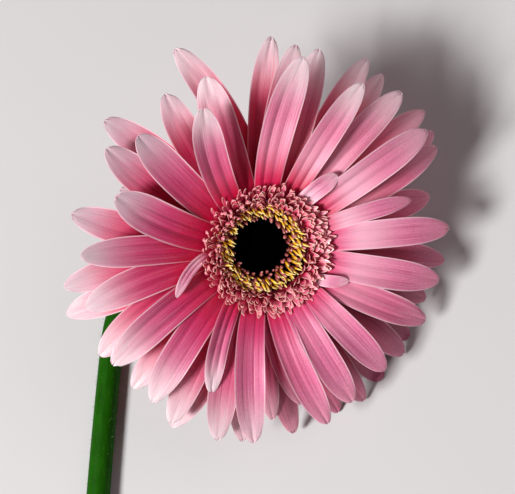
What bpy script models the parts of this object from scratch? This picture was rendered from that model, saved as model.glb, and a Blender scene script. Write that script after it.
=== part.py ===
"""A cut gerbera daisy lying on a surface.

The stem lies along the surface and its neck arches up into the head, so the face looks up, and the
lowest ray florets lie against the surface on the head's far side. The stem runs along Y with the
head at +Y, and the origin is on the surface under the middle of the whole flower.
"""

import math
import random

import bmesh
import bpy
from mathutils import Matrix, Vector

MM = 0.001

# Where the head is: the middle of the ring that carries the rays, and how far its face leans from
# straight up, towards a bearing seen from above.
HEAD_CENTRE = Vector((6.5, 118.0, 35.0)) * MM
FACE_LEAN = math.radians(35.0)
FACE_BEARING = math.radians(-40.0)

# The photograph is taken from a direction that leans the same way, but less. Seen from there, a point
# of the head moves by this share of its height towards the face's bearing.
CAMERA_LEAN = math.radians(20.0)
SLANT = math.tan(FACE_LEAN - CAMERA_LEAN)

# The stem's centre line, seen from above and measured from the head's centre.
STEM_TOP = 12.4 * MM
NECK_PULL = 22.0 * MM
NECK_FOOT = Vector((-56.0, -22.0)) * MM
NECK_FOOT_PULL = Vector((0.5, 36.0)) * MM
LYING_PULL = Vector((-3.5, -72.0)) * MM
CUT_END = Vector((-38.0, -292.0)) * MM
CUT_END_PULL = Vector((-22.0, 80.0)) * MM
NECK_POINTS = 20
LYING_POINTS = 14
NECK_RADIUS = 2.9 * MM
FOOT_RADIUS = 3.4 * MM
CUT_END_RADIUS = 3.7 * MM
STEM_FLAT_DEPTH = 0.25 * MM

# Layers of the head, as radius and height along its axis, from the ring that carries the rays.
CUP_PROFILE = [
    (0.0, -2.2), (12.6, -2.2), (15.2, -3.8), (14.2, -6.4), (11.0, -9.4), (6.4, -11.6), (0.0, -12.1),
]
COLLAR_PROFILE = [(10.9, 1.0), (14.6, 1.0), (15.0, -1.9), (10.9, -1.9)]
TRANS_BED_PROFILE = [(10.9, 2.7), (13.9, 2.7), (14.3, 2.1), (10.9, 1.5)]
HEAD_SIDES = 26

# The disc lies off the head's middle. Its bed is a ring with a round outside about the middle, and a
# hole about the disc's own centre.
DISC_SHIFT = Vector((-1.7, 1.35, 0.0)) * MM
DISC_FOOT = -1.9 * MM
BED_HOLE = 7.4 * MM
BED_OUTSIDE = 10.6 * MM
BED_TOP_INSIDE = 0.2 * MM
BED_TOP_OUTSIDE = 1.6 * MM
CENTRE_RADIUS = 7.0 * MM
CENTRE_HEIGHT = 1.8 * MM
BUD_HEIGHT = 0.45 * MM
BUDS_AROUND = 16
CENTRE_SIDES = 32
CENTRE_RINGS = 7
CENTRE_SCALLOP = 0.035

# Ray florets, one row each: the bearings of the tip and of the root in degrees anticlockwise from
# the head's right, the tip's reach from the axis and the greatest width in millimetres, how far back
# the ray lies (0 in front, 2 at the back, below 0 for strays in front of all), and its roll in
# degrees. The reach is as seen in the photograph for a ray that rises straight at its seen slope.
RAYS = [
    (7, 9, 50.5, 8.0, 0.0, 0),
    (-5, 0, 52.5, 7.6, 1.3, 0),
    (-10, -12, 49.0, 8.6, 0.1, 0),
    (-18, -16, 50.0, 7.8, 1.5, 0),
    (-24, -27, 50.0, 8.2, 0.4, 0),
    (-32, -30, 52.0, 7.6, 1.6, 0),
    (-37, -36, 51.5, 8.0, 1.2, 0),
    (-45, -44, 47.5, 7.8, 0.0, 0),
    (-47, -49, 55.5, 8.0, 1.8, 0),
    (-56, -58, 53.5, 7.6, 1.2, 0),
    (-60, -62, 48.5, 8.0, 0.0, 0),
    (-64, -69, 54.0, 7.2, 1.7, 0),
    (-70, -78, 51.0, 7.6, 0.2, 0),
    (-76, -86, 44.5, 5.6, 0.7, 35),
    (-79, -84, 55.0, 7.2, 1.6, 0),
    (-86, -90, 48.5, 6.0, 1.1, 0),
    (-94, -101, 52.0, 8.4, 0.0, 0),
    (-95, -103, 55.0, 7.2, 1.2, 0),
    (-104, -111, 53.5, 8.4, 0.5, 0),
    (-112, -122, 40.5, 5.8, -0.3, -30),
    (-115, -108, 57.0, 8.0, 1.9, 0),
    (-118, -123, 54.0, 8.2, 1.0, 0),
    (-128, -135, 50.5, 8.6, 0.0, 0),
    (-133, -137, 52.0, 8.4, 1.2, 0),
    (-145, -152, 50.5, 9.0, 0.0, 0),
    (-148, -158, 52.5, 9.2, 0.9, 0),
    (-161, -164, 56.0, 8.8, 1.8, 0),
    (-164, -171, 50.0, 8.8, 0.4, 0),
    (-170, -177, 54.5, 8.2, 1.1, 0),
    (-180, -183, 49.0, 8.0, 0.2, 0),
    (169, 174, 52.5, 9.0, 1.2, 0),
    (159, 167, 42.5, 10.0, 0.0, 0),
    (157, 162, 41.5, 8.0, 1.7, 0),
    (147, 154, 50.5, 9.4, 0.7, 0),
    (141, 136, 55.0, 9.0, 1.6, 0),
    (138, 143, 46.0, 9.0, 0.0, 0),
    (123, 128, 49.5, 8.8, 1.4, 0),
    (114, 99, 58.5, 8.4, 1.8, 0),
    (115, 127, 41.5, 8.4, -0.2, 0),
    (110, 112, 49.0, 9.4, 0.7, 0),
    (88, 94, 57.0, 7.6, 1.5, 0),
    (82, 88, 55.5, 7.6, 1.1, 0),
    (81, 90, 52.0, 8.6, 0.0, 0),
    (76, 76, 55.5, 8.2, 0.8, 0),
    (61, 65, 59.0, 7.6, 1.5, 0),
    (62, 66, 51.0, 7.2, -0.2, 0),
    (54, 55, 58.5, 7.4, 1.9, 0),
    (50, 54, 56.0, 8.0, 0.3, 0),
    (40, 43, 58.5, 8.0, 1.3, 0),
    (38, 38, 53.5, 8.4, 0.0, 0),
    (33, 29, 58.0, 7.6, 1.7, 0),
    (30, 26, 55.5, 8.0, 0.9, 0),
    (16, 18, 49.5, 8.4, 1.6, 0),
    (20, 23, 41.0, 5.0, -0.3, 20),
    (-155, -178, 27.0, 3.0, -0.9, 0),
    (-20, -31, 24.0, 3.4, -0.7, 0),
    (48, 54, 27.5, 5.0, -0.7, 0),
]
RAY_ROOT = 12.6 * MM
RAY_TOP = -0.1 * MM
RAY_LAYER_STEP = 0.78 * MM
RAY_SEEN_SLOPE = math.radians(9.0)
RAY_SLOPE_STEP = math.radians(-12.0)
RAY_LOWERED = math.radians(2.0)
RAY_UPRIGHT = math.radians(6.0)
RAY_ARCH = math.radians(22.0)
RAY_STEEPEST_START = math.radians(24.0)
RAY_SLOPE_DRAW = 1.5
RAY_ROLL_DRAW = 5.0
RAY_PULL = 0.45
RAY_THICKNESS = 0.65 * MM
RAY_CELLS_FRONT = (6, 3)
RAY_CELLS_BACK = (6, 2)
RAY_FRONT_DEPTH = 0.6
RAY_FOREMOST = -0.3
RAY_WIDEST = 0.62
RAY_ROOT_WIDTH = 0.54
RAY_TIP_WIDTH = 0.26
RAY_TIP_ROUNDING = 2.6
RAY_TIP_BULGE = 0.35
RAY_TIP_START = 0.85
RAY_CUP = 0.20
RAY_CUP_DRAW = (0.6, 1.4)
RAY_CUP_START = 0.15
RAY_CUP_REACH = 1.6
RAY_CUP_DIP = 0.3
RAY_GROOVE = 0.11 * MM
SURFACE_EASE = 2.0 * MM

# Trans florets, in rings from the inside out: the root's radius, how many, the reach outwards, the
# rise and the width.
TRANS_RINGS = [(11.6, 18, 4.8, 4.0, 1.9), (12.8, 22, 4.9, 3.6, 2.1), (13.9, 25, 4.6, 3.3, 2.3)]
TRANS_ROOT_HEIGHT = 2.3 * MM
TRANS_THICKNESS = 0.6 * MM
TRANS_CELLS = (3, 1)
TRANS_REACH_DRAW = (0.85, 1.1)
TRANS_STAND = (0.48, 0.56)
TRANS_CURL = (0.7, 1.4)
TRANS_CURL_DROP = 0.2
TRANS_ROOT_WIDTH = 0.75
TRANS_TIP_NARROWING = 0.35
TRANS_RING_TURN = 0.37
TRANS_BEARING_DRAW = 0.15
TRANS_SPIRAL = math.radians(9.0)

# Anthers of the disc florets, in rings: the root's radius, how many and the length.
ANTHER_RINGS = [(8.2, 17, 5.2), (9.2, 21, 5.6)]
ANTHER_RADIUS = 0.5 * MM
ANTHER_TAPER = 0.4
ANTHER_LEAN = 0.2
ANTHER_HOOK = (0.2, 1.3)
ANTHER_BEARING_DRAW = 0.2
ANTHER_LENGTH_DRAW = (0.85, 1.1)
ANTHER_CELLS = 3
ANTHER_SIDES = 4

# Bracts of the involucre, in rows: the root's radius and height, the tip's, how many and the width.
BRACT_ROWS = [
    ((12.6, -7.8), (19.2, -5.6), 18, 3.4),
    ((8.2, -10.3), (15.8, -8.6), 14, 3.2),
]
BRACT_TAPER = 0.82
BRACT_KEEL = 0.25
BRACT_THICKNESS = 0.7 * MM
BRACT_CELLS = (2, 2)


def lean(bearing, angle):
    """A turn that tips the Z axis by an angle towards a bearing, with no spin."""
    swing = Matrix.Rotation(bearing, 4, "Z")
    return swing @ Matrix.Rotation(angle, 4, "Y") @ swing.inverted()


HEAD_TURN = lean(FACE_BEARING, FACE_LEAN)
UP_SEEN_FROM_HEAD = HEAD_TURN.inverted().to_3x3() @ Vector((0.0, 0.0, 1.0))


def material(name, colour, roughness):
    """A plain material with one colour."""
    made = bpy.data.materials.new(name)
    made.use_nodes = True
    shader = made.node_tree.nodes["Principled BSDF"]
    shader.inputs["Base Color"].default_value = (*colour, 1.0)
    shader.inputs["Roughness"].default_value = roughness
    shader.inputs["Metallic"].default_value = 0.0
    made.diffuse_color = (*colour, 1.0)
    return made


def add_object(name, mesh, collection, parent=None):
    """Link a mesh as an object, in the head's own frame when it has a parent."""
    thing = bpy.data.objects.new(name, mesh)
    collection.objects.link(thing)
    thing.parent = parent
    return thing


def polar(radius, bearing, height=0.0):
    return Vector((radius * math.cos(bearing), radius * math.sin(bearing), height))


def turned(name, profile, closed, collection, parent):
    """A profile in millimetres, turned round the head's axis. A closed one makes a ring."""
    mesh = bpy.data.meshes.new(name)
    points = [(radius * MM, 0.0, height * MM) for radius, height in profile]
    last = len(points) if closed else len(points) - 1
    edges = [(i, (i + 1) % len(points)) for i in range(last)]
    mesh.from_pydata(points, edges, [])
    thing = add_object(name, mesh, collection, parent)
    screw = thing.modifiers.new("turn", "SCREW")
    screw.axis = "Z"
    screw.steps = HEAD_SIDES
    screw.render_steps = HEAD_SIDES
    screw.use_merge_vertices = True
    screw.merge_threshold = 0.00001
    screw.use_normal_calculate = False
    return thing


def blade(name, surface, cells, thickness, collection, parent):
    """A closed sheet of even thickness over surface(along, across), split alike on both faces.

    along runs from 0 to 1 and across from -1 to 1, and the top looks along the cross product of
    the two directions.
    """
    cells_along, cells_across = cells
    tiny = 0.01
    shape = bmesh.new()
    top, bottom = [], []
    for i in range(cells_along + 1):
        for j in range(cells_across + 1):
            along = i / cells_along
            across = 2.0 * j / cells_across - 1.0
            middle = surface(along, across)
            run = surface(min(along + tiny, 1.0), across) - surface(max(along - tiny, 0.0), across)
            side = surface(along, min(across + tiny, 1.0)) - surface(along, max(across - tiny, -1.0))
            normal = run.cross(side).normalized()
            top.append(shape.verts.new(middle + normal * thickness / 2))
            bottom.append(shape.verts.new(middle - normal * thickness / 2))

    def at(i, j):
        return i * (cells_across + 1) + j

    for i in range(cells_along):
        for j in range(cells_across):
            near, far = at(i, j), at(i, j + 1)
            next_near, next_far = at(i + 1, j), at(i + 1, j + 1)
            for a, b, c in ((near, next_near, next_far), (near, next_far, far)):
                shape.faces.new((top[a], top[b], top[c]))
                shape.faces.new((bottom[c], bottom[b], bottom[a]))
    rim = [at(i, 0) for i in range(cells_along)]
    rim += [at(cells_along, j) for j in range(cells_across)]
    rim += [at(i, cells_across) for i in range(cells_along, 0, -1)]
    rim += [at(0, j) for j in range(cells_across, 0, -1)]
    for here, there in zip(rim, rim[1:] + rim[:1]):
        shape.faces.new((top[here], bottom[here], top[there]))
        shape.faces.new((top[there], bottom[here], bottom[there]))
    bmesh.ops.recalc_face_normals(shape, faces=shape.faces)
    mesh = bpy.data.meshes.new(name)
    shape.to_mesh(mesh)
    shape.free()
    return add_object(name, mesh, collection, parent)


def keep_main_body(mesh):
    """Drop the loose scraps and sealed hollows that joining can leave."""
    shape = bmesh.new()
    shape.from_mesh(mesh)
    left = set(shape.verts)
    bodies = []
    while left:
        body = {left.pop()}
        edge_of_body = list(body)
        while edge_of_body:
            vert = edge_of_body.pop()
            for edge in vert.link_edges:
                other = edge.other_vert(vert)
                if other not in body:
                    body.add(other)
                    edge_of_body.append(other)
        left -= body
        bodies.append(body)
    main = max(bodies, key=len)
    scraps = [vert for body in bodies if body is not main for vert in body]
    bmesh.ops.delete(shape, geom=scraps, context="VERTS")
    shape.to_mesh(mesh)
    shape.free()


def fuse(base, pieces):
    """Join a collection of pieces to a base object as one body, and remove the pieces."""
    union = base.modifiers.new("join", "BOOLEAN")
    union.operation = "UNION"
    union.operand_type = "COLLECTION"
    union.collection = pieces
    union.solver = "MANIFOLD"
    bpy.context.view_layer.update()
    depsgraph = bpy.context.evaluated_depsgraph_get()
    joined = bpy.data.meshes.new_from_object(base.evaluated_get(depsgraph))
    base.modifiers.clear()
    keep_main_body(joined)
    base.data = joined
    for piece in list(pieces.objects):
        bpy.data.objects.remove(piece)
    bpy.data.collections.remove(pieces)


def new_collection(name, parent):
    made = bpy.data.collections.new(name)
    parent.children.link(made)
    return made


def finish(thing, look, smooth_below=None):
    """Give an object its material and, where asked, its smooth shading."""
    thing.data.materials.clear()
    thing.data.materials.append(look)
    if smooth_below is not None:
        thing.data.shade_smooth()
        thing.data.set_sharp_from_angle(angle=smooth_below)


def bezier(start, start_pull, end_pull, end, t):
    """A point on a cubic curve whose ends are pulled towards the two middle points."""
    s = 1.0 - t
    return start * s ** 3 + start_pull * 3 * s * s * t + end_pull * 3 * s * t * t + end * t ** 3


def smoothstep(value):
    value = min(max(value, 0.0), 1.0)
    return value * value * (3.0 - 2.0 * value)


def stem_route():
    """The stem's centre line from the receptacle to the cut end, as points and radii."""
    face = (HEAD_TURN @ Vector((0.0, 0.0, 1.0))).normalized()
    top = HEAD_CENTRE - face * STEM_TOP
    foot = Vector((HEAD_CENTRE.x + NECK_FOOT.x, HEAD_CENTRE.y + NECK_FOOT.y, FOOT_RADIUS - STEM_FLAT_DEPTH))
    foot_pull = foot + Vector((NECK_FOOT_PULL.x, NECK_FOOT_PULL.y, 0.0))
    route = []
    for i in range(NECK_POINTS):
        t = i / NECK_POINTS
        radius = NECK_RADIUS + (FOOT_RADIUS - NECK_RADIUS) * smoothstep(t)
        route.append((bezier(top, top - face * NECK_PULL, foot_pull, foot, t), radius))
    cut_end = Vector((HEAD_CENTRE.x + CUT_END.x, HEAD_CENTRE.y + CUT_END.y, foot.z))
    lying_pull = foot + Vector((LYING_PULL.x, LYING_PULL.y, 0.0))
    cut_end_pull = cut_end + Vector((CUT_END_PULL.x, CUT_END_PULL.y, 0.0))
    for i in range(LYING_POINTS + 1):
        t = i / LYING_POINTS
        radius = FOOT_RADIUS + (CUT_END_RADIUS - FOOT_RADIUS) * t
        place = bezier(foot, lying_pull, cut_end_pull, cut_end, t)
        place.z = radius - STEM_FLAT_DEPTH
        route.append((place, radius))
    return route


def make_stem(collection):
    """A bent round stem, with a narrow flat where it lies on the surface."""
    route = stem_route()
    curve = bpy.data.curves.new("stem_line", "CURVE")
    curve.dimensions = "3D"
    curve.bevel_depth = 1.0
    curve.bevel_resolution = 4
    curve.use_fill_caps = True
    spline = curve.splines.new("POLY")
    spline.points.add(len(route) - 1)
    for point, (place, radius) in zip(spline.points, route):
        point.co = (*place, 1.0)
        point.radius = radius
    line = bpy.data.objects.new("stem_line", curve)
    collection.objects.link(line)
    bpy.context.view_layer.update()
    depsgraph = bpy.context.evaluated_depsgraph_get()
    mesh = bpy.data.meshes.new_from_object(line.evaluated_get(depsgraph))
    bpy.data.objects.remove(line)

    shape = bmesh.new()
    shape.from_mesh(mesh)
    bmesh.ops.remove_doubles(shape, verts=shape.verts, dist=0.00001)
    everything = shape.verts[:] + shape.edges[:] + shape.faces[:]
    bmesh.ops.bisect_plane(shape, geom=everything, plane_co=(0, 0, 0), plane_no=(0, 0, -1), clear_outer=True)
    open_edges = [edge for edge in shape.edges if edge.is_boundary]
    bmesh.ops.contextual_create(shape, geom=open_edges)
    bmesh.ops.recalc_face_normals(shape, faces=shape.faces)
    shape.to_mesh(mesh)
    shape.free()
    return add_object("stem", mesh, collection)


def lifted(point, clearance):
    """Keep a point of the head's own frame above the surface, easing it in where it would sink."""
    excess = (HEAD_CENTRE + HEAD_TURN.to_3x3() @ point).z - clearance
    if excess > SURFACE_EASE:
        return point
    raised = SURFACE_EASE * math.exp((excess - SURFACE_EASE) / SURFACE_EASE)
    return point + UP_SEEN_FROM_HEAD * (raised - excess)


def ray_surface(ray, draw):
    """The middle surface of one ray, as a function of along and across."""
    tip_bearing, root_bearing, reach, width, depth, roll = ray
    root = polar(RAY_ROOT, math.radians(root_bearing))
    tip = polar(reach * MM, math.radians(tip_bearing))
    length = (tip - root).length
    pull = root + polar(length * RAY_PULL, math.radians(root_bearing))
    seen_slope = RAY_SEEN_SLOPE + RAY_SLOPE_STEP * depth
    seen_slope += math.radians(draw.uniform(-RAY_SLOPE_DRAW, RAY_SLOPE_DRAW))
    high_side = max(-math.cos(math.radians(tip_bearing) - FACE_BEARING), 0.0) * max(1.0 - depth, 0.0)
    slope = seen_slope - RAY_LOWERED + RAY_UPRIGHT * high_side
    start = min(slope + RAY_ARCH, RAY_STEEPEST_START)
    fall = (math.tan(start) - math.tan(slope)) / length
    root_height = RAY_TOP - RAY_LAYER_STEP * max(depth, RAY_FOREMOST)
    cup = RAY_CUP * draw.uniform(*RAY_CUP_DRAW)
    turn = math.radians(roll + draw.uniform(-RAY_ROLL_DRAW, RAY_ROLL_DRAW))

    def half_width(along):
        if along < RAY_WIDEST:
            share = RAY_ROOT_WIDTH + (1.0 - RAY_ROOT_WIDTH) * math.sin(math.pi / 2 * along / RAY_WIDEST)
        else:
            past = (along - RAY_WIDEST) / (1.0 - RAY_WIDEST)
            share = RAY_TIP_WIDTH + (1.0 - RAY_TIP_WIDTH) * (1.0 - past ** RAY_TIP_ROUNDING)
        return width * MM / 2 * share

    def surface(t, across):
        s = 1.0 - t
        point = root * s * s + pull * 2 * s * t + tip * t * t
        heading = ((pull - root) * s + (tip - pull) * t).normalized()
        side = Vector((-heading.y, heading.x, 0.0))
        run = t * length
        rise = math.tan(start) * run - fall * run * run
        point += polar(SLANT * (math.tan(seen_slope) * run - rise), FACE_BEARING)
        half = half_width(t)
        cupped = cup * half * (across * across * (RAY_CUP_REACH - t) - RAY_CUP_DIP)
        cupped *= smoothstep(t / RAY_CUP_START)
        grooved = RAY_GROOVE * math.cos(2 * math.pi * across) * math.sin(math.pi * t)
        roll_here = turn * smoothstep(t * 2.0)
        point += side * (across * half * math.cos(roll_here))
        point.z = root_height + rise + cupped + grooved + across * half * math.sin(roll_here)
        bulge = RAY_TIP_BULGE * (1.0 - across * across)
        bulge *= smoothstep((t - RAY_TIP_START) / (1.0 - RAY_TIP_START))
        return lifted(point + heading * (half * bulge), RAY_THICKNESS / 2)

    return surface


def make_rays(collection, head):
    """The collar and every ray rooted in it, as one body."""
    collar = turned("ray_florets", COLLAR_PROFILE, True, collection, head)
    pieces = new_collection("rays", collection)
    draw = random.Random(11)
    for number, ray in enumerate(RAYS):
        cells = RAY_CELLS_FRONT if ray[4] < RAY_FRONT_DEPTH else RAY_CELLS_BACK
        blade("ray_%02d" % number, ray_surface(ray, draw), cells, RAY_THICKNESS, pieces, head)
    fuse(collar, pieces)
    return collar


def trans_surface(bearing, radius, reach, rise, width, draw):
    """A short strap that stands up from its root and curls outwards."""
    stand = draw.uniform(*TRANS_STAND)
    curl = draw.uniform(*TRANS_CURL)
    swing = TRANS_SPIRAL * draw.uniform(0.8, 1.2)

    def surface(along, across):
        out = reach * along * (1.0 - stand * (1.0 - along))
        up = rise * (math.sin(math.pi / 2 * along) - TRANS_CURL_DROP * curl * along ** 3)
        here = bearing + swing * along
        side = Vector((-math.sin(here), math.cos(here), 0.0))
        half = width / 2 * (TRANS_ROOT_WIDTH + (1.0 - TRANS_ROOT_WIDTH) * math.sin(math.pi * along))
        half *= 1.0 - TRANS_TIP_NARROWING * smoothstep(along * 3 - 2)
        return polar(radius + out, here, TRANS_ROOT_HEIGHT + up) + side * (across * half)

    return surface


def make_trans(collection, head):
    """The ring of short florets inside the rays, as one body."""
    bed = turned("trans_florets", TRANS_BED_PROFILE, True, collection, head)
    pieces = new_collection("trans", collection)
    draw = random.Random(23)
    for ring, (radius, count, reach, rise, width) in enumerate(TRANS_RINGS):
        for number in range(count):
            shift = TRANS_RING_TURN * ring + draw.uniform(-TRANS_BEARING_DRAW, TRANS_BEARING_DRAW)
            bearing = 2 * math.pi * (number + shift) / count
            out = reach * MM * draw.uniform(*TRANS_REACH_DRAW)
            surface = trans_surface(bearing, radius * MM, out, rise * MM, width * MM, draw)
            name = "trans_%d_%02d" % (ring, number)
            blade(name, surface, TRANS_CELLS, TRANS_THICKNESS, pieces, head)
    fuse(bed, pieces)
    return bed


def spike(name, route, radii, collection, parent):
    """A tapering curved spike along a route."""
    shape = bmesh.new()
    rings = []
    for i, (place, radius) in enumerate(zip(route, radii)):
        ahead = route[min(i + 1, len(route) - 1)] - route[max(i - 1, 0)]
        ahead.normalize()
        side = ahead.cross(Vector((0.0, 0.0, 1.0))).normalized()
        other = side.cross(ahead)
        ring = []
        for k in range(ANTHER_SIDES):
            angle = 2 * math.pi * k / ANTHER_SIDES
            spoke = side * math.cos(angle) + other * math.sin(angle)
            ring.append(shape.verts.new(place + spoke * radius))
        rings.append(ring)
    for low, high in zip(rings, rings[1:]):
        for k in range(ANTHER_SIDES):
            after = (k + 1) % ANTHER_SIDES
            shape.faces.new((low[k], low[after], high[after], high[k]))
    shape.faces.new(rings[0][::-1])
    shape.faces.new(rings[-1])
    bmesh.ops.recalc_face_normals(shape, faces=shape.faces)
    mesh = bpy.data.meshes.new(name)
    shape.to_mesh(mesh)
    shape.free()
    return add_object(name, mesh, collection, parent)


def make_disc_bed(collection, head):
    """The ring that carries the anthers, with its hole off the middle."""
    shape = bmesh.new()
    rows = []
    for k in range(HEAD_SIDES):
        bearing = 2 * math.pi * k / HEAD_SIDES
        inside = polar(BED_HOLE, bearing) + DISC_SHIFT
        outside = polar(BED_OUTSIDE, bearing)
        corners = [(inside, DISC_FOOT), (inside, BED_TOP_INSIDE)]
        corners += [(outside, BED_TOP_OUTSIDE), (outside, DISC_FOOT)]
        rows.append([shape.verts.new((place.x, place.y, height)) for place, height in corners])
    for row, after in zip(rows, rows[1:] + rows[:1]):
        for i in range(len(row)):
            following = (i + 1) % len(row)
            shape.faces.new((row[i], after[i], after[following], row[following]))
    bmesh.ops.recalc_face_normals(shape, faces=shape.faces)
    mesh = bpy.data.meshes.new("disc_florets")
    shape.to_mesh(mesh)
    shape.free()
    return add_object("disc_florets", mesh, collection, head)


def make_anthers(collection, head):
    """The ring of golden anthers, upright and hooked over one way, as one body."""
    bed = make_disc_bed(collection, head)
    pieces = new_collection("anthers", collection)
    draw = random.Random(37)
    for ring, (radius, count, length) in enumerate(ANTHER_RINGS):
        inwards = (BED_OUTSIDE - radius * MM) / (BED_OUTSIDE - BED_HOLE)
        for number in range(count):
            shift = 0.5 * ring + draw.uniform(-ANTHER_BEARING_DRAW, ANTHER_BEARING_DRAW)
            bearing = 2 * math.pi * (number + shift) / count
            tall = length * MM * draw.uniform(*ANTHER_LENGTH_DRAW)
            hook = draw.uniform(*ANTHER_HOOK) * MM
            root = polar(radius * MM, bearing) + DISC_SHIFT * inwards
            route, radii = [], []
            for i in range(ANTHER_CELLS + 1):
                t = i / ANTHER_CELLS
                route.append(root + polar(ANTHER_LEAN * tall * t + hook * t ** 3, FACE_BEARING, tall * t))
                radii.append(ANTHER_RADIUS * (1.0 - ANTHER_TAPER * t))
            spike("anther_%d_%02d" % (ring, number), route, radii, pieces, head)
    fuse(bed, pieces)
    return bed


def make_centre(collection, head):
    """The dome of closed buds, with a scalloped edge and spiral rows of buds as relief."""
    shape = bmesh.new()
    grid = []
    for i in range(1, CENTRE_RINGS + 1):
        share = i / CENTRE_RINGS
        ring = []
        for k in range(CENTRE_SIDES):
            bearing = 2 * math.pi * k / CENTRE_SIDES
            lobe = math.cos(BUDS_AROUND * bearing) * smoothstep(share * 4 - 3)
            scallop = 1.0 - CENTRE_SCALLOP * (1.0 - lobe)
            wave = math.cos(BUDS_AROUND * bearing / 2 + math.pi * i) * math.sin(math.pi * share)
            height = CENTRE_HEIGHT * (1.0 - share ** 3) + BUD_HEIGHT * (wave + share)
            place = polar(CENTRE_RADIUS * share * scallop, bearing, DISC_FOOT + height)
            ring.append(shape.verts.new(place + DISC_SHIFT))
        grid.append(ring)
    apex = shape.verts.new(DISC_SHIFT + Vector((0.0, 0.0, DISC_FOOT + CENTRE_HEIGHT)))
    foot_ring = [shape.verts.new((vert.co.x, vert.co.y, DISC_FOOT)) for vert in grid[-1]]
    for k in range(CENTRE_SIDES):
        after = (k + 1) % CENTRE_SIDES
        shape.faces.new((apex, grid[0][k], grid[0][after]))
        for inner, outer in zip(grid, grid[1:]):
            shape.faces.new((inner[k], outer[k], outer[after], inner[after]))
        shape.faces.new((grid[-1][k], foot_ring[k], foot_ring[after], grid[-1][after]))
    shape.faces.new(foot_ring[::-1])
    bmesh.ops.triangulate(shape, faces=shape.faces)
    bmesh.ops.recalc_face_normals(shape, faces=shape.faces)
    mesh = bpy.data.meshes.new("disc_centre")
    shape.to_mesh(mesh)
    shape.free()
    return add_object("disc_centre", mesh, collection, head)


def bract_surface(bearing, root, tip, width):
    """A pointed green bract that hugs the cup and runs out under the rays."""
    root_radius, root_height = root
    tip_radius, tip_height = tip

    def surface(along, across):
        radius = (root_radius + (tip_radius - root_radius) * math.sin(math.pi / 2 * along)) * MM
        height = (root_height + (tip_height - root_height) * along ** 1.3) * MM
        half = width * MM / 2 * (1.0 - BRACT_TAPER * along ** 1.6)
        side = Vector((-math.sin(bearing), math.cos(bearing), 0.0))
        keel = BRACT_KEEL * half * across * across
        return polar(radius, bearing, height + keel) + side * (across * half)

    return surface


def make_involucre(collection, head):
    """The receptacle cup with its rows of bracts, as one body."""
    cup = turned("involucre", CUP_PROFILE, False, collection, head)
    pieces = new_collection("bracts", collection)
    for row, (root, tip, count, width) in enumerate(BRACT_ROWS):
        for number in range(count):
            bearing = 2 * math.pi * (number + 0.5 * row) / count
            surface = bract_surface(bearing, root, tip, width)
            blade("bract_%d_%02d" % (row, number), surface, BRACT_CELLS, BRACT_THICKNESS, pieces, head)
    fuse(cup, pieces)
    return cup


def build():
    for thing in list(bpy.data.objects):
        bpy.data.objects.remove(thing)
    flower = bpy.data.collections.new("cut_daisy")
    bpy.context.scene.collection.children.link(flower)
    head = bpy.data.objects.new("head", None)
    flower.objects.link(head)
    head.matrix_world = Matrix.Translation(HEAD_CENTRE) @ HEAD_TURN
    bpy.context.view_layer.update()

    green = material("stem_green", (0.10, 0.30, 0.05), 0.5)
    pale_green = material("bract_green", (0.16, 0.32, 0.08), 0.6)
    pink = material("ray_pink", (0.72, 0.24, 0.38), 0.5)
    deep_pink = material("trans_pink", (0.58, 0.16, 0.27), 0.6)
    gold = material("anther_gold", (0.80, 0.52, 0.10), 0.6)
    dark = material("centre_dark", (0.02, 0.012, 0.012), 0.7)

    finish(make_stem(flower), green, math.radians(45.0))
    finish(make_involucre(flower, head), pale_green)
    finish(make_rays(flower, head), pink)
    finish(make_trans(flower, head), deep_pink)
    finish(make_anthers(flower, head), gold)
    finish(make_centre(flower, head), dark)


build()
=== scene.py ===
"""Looks of a cut gerbera daisy that lies on a pale surface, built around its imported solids.

Lengths are in metres, and in millimetres in the tables of rays, rings, rows and profiles. The
head's own frame has its Z axis along the flower's face, its origin in the middle of the ring that
carries the rays, and its X axis towards the photograph's right.
"""

import math
import random

import bpy
import numpy as np
from mathutils import Matrix, Vector


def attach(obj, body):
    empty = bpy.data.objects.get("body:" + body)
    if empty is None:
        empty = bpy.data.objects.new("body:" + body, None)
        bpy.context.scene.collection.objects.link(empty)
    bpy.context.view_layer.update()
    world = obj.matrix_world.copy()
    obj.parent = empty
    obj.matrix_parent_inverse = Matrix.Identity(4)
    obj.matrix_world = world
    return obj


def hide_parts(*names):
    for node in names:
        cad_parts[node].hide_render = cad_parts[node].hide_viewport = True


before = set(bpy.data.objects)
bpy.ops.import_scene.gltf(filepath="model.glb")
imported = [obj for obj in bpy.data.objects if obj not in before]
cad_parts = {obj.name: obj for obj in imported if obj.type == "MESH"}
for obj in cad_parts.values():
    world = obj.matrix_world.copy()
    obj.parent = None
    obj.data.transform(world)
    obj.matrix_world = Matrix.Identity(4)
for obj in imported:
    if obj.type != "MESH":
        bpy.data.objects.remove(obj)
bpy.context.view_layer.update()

MM = 0.001
TAU = 2 * math.pi

# Edges that turn by more than this stay crisp, so a thin rim doesn't shade the face beside it.
CRISP_ANGLE = math.radians(75.0)

# The photograph's frame, and where the middle of the flower's ring lies in it.
PHOTO_WIDTH = 515
PHOTO_HEIGHT = 494
RING_PIXEL = (265.0, 250.0)

# The head's place and lean, as in the solids.
HEAD_CENTRE = np.array((6.5, 118.0, 35.0)) * MM
FACE_LEAN = math.radians(35.0)
FACE_BEARING = math.radians(-40.0)

# The camera looks down from a point over the head's lower right.
CAMERA_LEAN = math.radians(20.0)
CAMERA_DISTANCE = 0.327
CAMERA_LENS = 85.0
CAMERA_CLIP = 0.01

# Seen from the camera, a point of the head moves by this share of its height towards the bearing
# of the face.
SLANT = math.tan(FACE_LEAN - CAMERA_LEAN)

# Where the key light comes from, in the head's frame: low over the face, from the left.
KEY_ELEVATION = math.radians(36.0)
KEY_BEARING = math.radians(190.0)

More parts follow.
